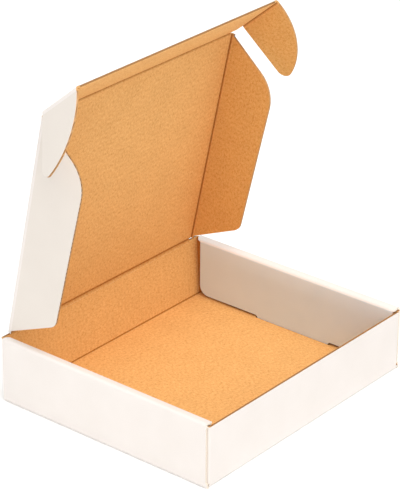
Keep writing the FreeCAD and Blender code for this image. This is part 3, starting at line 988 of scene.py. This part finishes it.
def ear_outline():
    """An ear's straight side, short tip and long curve back to its crease."""
    root, corner = Vector((0, EAR_ROOT)), Vector((0, TUCK_LENGTH))
    side_end, tip = Vector((EAR_SIDE_REACH, EAR_SIDE_END)), Vector((EAR_TIP_REACH, EAR_TIP))
    bulge = Vector((EAR_BULGE_REACH, EAR_BULGE))
    heading = (side_end - root).normalized()
    normal = Vector((-heading.y, heading.x))
    chord = tip - side_end
    radius = chord.length_squared / (2 * normal.dot(chord))
    centre = side_end + normal * radius
    middle = centre + ((side_end - centre) + (tip - centre)).normalized() * abs(radius)
    start = root + heading * (CREASE_REACH / heading.x)
    curve = arc_through(side_end, middle, tip, 10)[:-1] + arc_through(tip, bulge, corner, 30)
    kept = [p for p in curve if p.x > CREASE_REACH]
    last, after = kept[-1], curve[len(kept)]
    share = (last.x - CREASE_REACH) / (last.x - after.x)
    return [start] + kept + [last.lerp(after, share)]


def ear(side, name):
    place = on(side_frame(TUCK_FRAME, side, TUCK_HALF_WIDTH, EAR_ANGLES[side]), side)
    fluted_board(f"{name}_sheet", ear_outline(), place, name, name, CREASE_REACH, side < 0, FLUTE)


def bend(degrees):
    """Section of a crease that turns by an angle, around its axis at 0, 0."""
    c, s = turned(degrees)
    return [(-CREASE_REACH, 0), (0, 0), (CREASE_REACH * c, CREASE_REACH * s)]


def creases():
    """The creases' strips of board, bent to their rest angles, one for each joint."""
    def across_lid(side):
        return lambda a, b, along: LID_FRAME @ Vector((side * (LID_HALF_WIDTH + a), along, b))

    def across_tuck(side):
        return lambda a, b, along: TUCK_FRAME @ Vector((side * (TUCK_HALF_WIDTH + a), along, b))

    def along_hinge(a, b, along):
        return Vector((along, a, b))

    def along_tuck(a, b, along):
        return LID_FRAME @ Vector((along, LID_LENGTH + a, b))

    half = LID_HALF_WIDTH - CREASE_REACH
    foot = HINGE_HEIGHT - CREASE_REACH
    wall = (HALF_DEPTH - HALF + lean_at(foot), foot)
    away = (HINGE_Y - LID_C * CREASE_REACH, HINGE_HEIGHT + LID_S * CREASE_REACH)
    crease("hinge_crease", [wall, (HINGE_Y, HINGE_HEIGHT), away], along_hinge,
           -HINGE_CREASE_HALF, HINGE_CREASE_HALF)
    crease("tuck_crease", bend(TUCK_ANGLE), along_tuck, -half, half)
    for side, word in SIDES:
        crease(f"{word}_wing_crease", bend(WING_ANGLE), across_lid(side), WING_FOOT, WING_STOP)
        crease(f"{word}_ear_crease", bend(EAR_ANGLES[side]), across_tuck(side), EAR_ROOT, TUCK_LENGTH)


# Surroundings

def studio():
    """Soft light all round, white to the camera, and the lamps."""
    scene = bpy.context.scene
    world = bpy.data.worlds.new("studio") if scene.world is None else scene.world
    scene.world = world
    world.use_nodes = True
    tree = world.node_tree
    background = tree.nodes["Background"]
    background.inputs["Color"].default_value = WORLD_COLOR
    background.inputs["Strength"].default_value = WORLD_STRENGTH
    rays = node(tree, "ShaderNodeLightPath")
    white = node(tree, "ShaderNodeBackground", Strength=1.0)
    choice = node(tree, "ShaderNodeMixShader")
    seen = math_node(tree, "MAXIMUM", rays.outputs["Is Camera Ray"], rays.outputs["Is Glossy Ray"])
    tree.links.new(seen, choice.inputs[0])
    tree.links.new(background.outputs[0], choice.inputs[1])
    tree.links.new(white.outputs[0], choice.inputs[2])
    tree.links.new(choice.outputs[0], tree.nodes["World Output"].inputs[0])
    for lamp_values in LAMPS:
        lamp(*lamp_values)


def lamp(name, place, width, height, power):
    light = bpy.data.lights.new(name, "AREA")
    light.shape = "RECTANGLE"
    light.size = width
    light.size_y = height
    light.energy = power
    light.color = LAMP_COLOR
    made = placed(bpy.data.objects.new(name, light))
    made.location = place
    made.rotation_euler = (Vector(LAMP_AIM) - Vector(place)).to_track_quat("-Z", "Y").to_euler()


def stage_floor():
    """A pale floor that shows white to the camera and keeps a soft shadow."""
    mesh = bpy.data.meshes.new("stage_floor")
    reach = STAGE_REACH
    corners = [(-reach, -reach, 0), (reach, -reach, 0), (reach, reach, 0), (-reach, reach, 0)]
    mesh.from_pydata(corners, [], [(0, 1, 2, 3)])
    material, tree, surface = shader("stage_floor", 0.9, 0.0)
    surface.inputs["Base Color"].default_value = STAGE_COLOR
    rays = node(tree, "ShaderNodeLightPath")
    lit = node(tree, "ShaderNodeAddShader")
    glow = node(tree, "ShaderNodeEmission", Strength=STAGE_GLOW)
    choice = node(tree, "ShaderNodeMixShader")
    tree.links.new(surface.outputs[0], lit.inputs[0])
    tree.links.new(glow.outputs[0], lit.inputs[1])
    tree.links.new(rays.outputs["Is Camera Ray"], choice.inputs[0])
    tree.links.new(surface.outputs[0], choice.inputs[1])
    tree.links.new(lit.outputs[0], choice.inputs[2])
    tree.links.new(choice.outputs[0], tree.nodes["Material Output"].inputs["Surface"])
    mesh.materials.append(material)
    placed(bpy.data.objects.new("stage_floor", mesh))


def camera():
    """The photograph's view, from a fit of the tray's and the lid's corners."""
    az, el, roll = (math.radians(v) for v in (CAMERA_AZIMUTH, CAMERA_ELEVATION, CAMERA_ROLL))
    ahead = Vector((math.sin(-az) * math.cos(el), math.cos(az) * math.cos(el), -math.sin(el)))
    level = ahead.cross(Vector((0, 0, 1))).normalized()
    upward = level.cross(ahead)
    right = level * math.cos(roll) + upward * math.sin(roll)
    up = upward * math.cos(roll) - level * math.sin(roll)
    eye = (Vector(CAMERA_TARGET) - ahead * CAMERA_DISTANCE) * MM
    data = bpy.data.cameras.new("camera")
    data.sensor_fit = "HORIZONTAL"
    data.sensor_width = SENSOR
    data.lens = CAMERA_FOCAL_PIXELS * SENSOR / IMAGE_WIDTH
    made = placed(bpy.data.objects.new("camera", data))
    made.matrix_world = Matrix(((right.x, up.x, -ahead.x, eye.x), (right.y, up.y, -ahead.y, eye.y),
                                (right.z, up.z, -ahead.z, eye.z), (0, 0, 0, 1)))
    bpy.context.scene.camera = made


def tray():
    """The tray's sheets: floor, side walls, corner flaps, front wall and hinge wall."""
    floor()
    for side, word in SIDES:
        side_sheet(side, f"side_wall_{word}")
        corner_flap(side, -1, FRONT_HEIGHT, False, f"corner_flap_front_{word}")
        corner_flap(side, 1, HINGE_HEIGHT - FLAP_BACK_CUT, True, f"corner_flap_back_{word}")
    end_sheet(-1, FRONT_HEIGHT, False, "front_wall")
    end_sheet(1, HINGE_HEIGHT - HINGE_CUT, True, "hinge_wall")


tray()
lid()
tuck()
for side, word in SIDES:
    wing(side, f"{word}_wing")
    ear(side, f"{word}_ear")
creases()
stage_floor()
studio()
camera()
bpy.context.scene.view_settings.view_transform = "Standard"

bpy.context.view_layer.update()
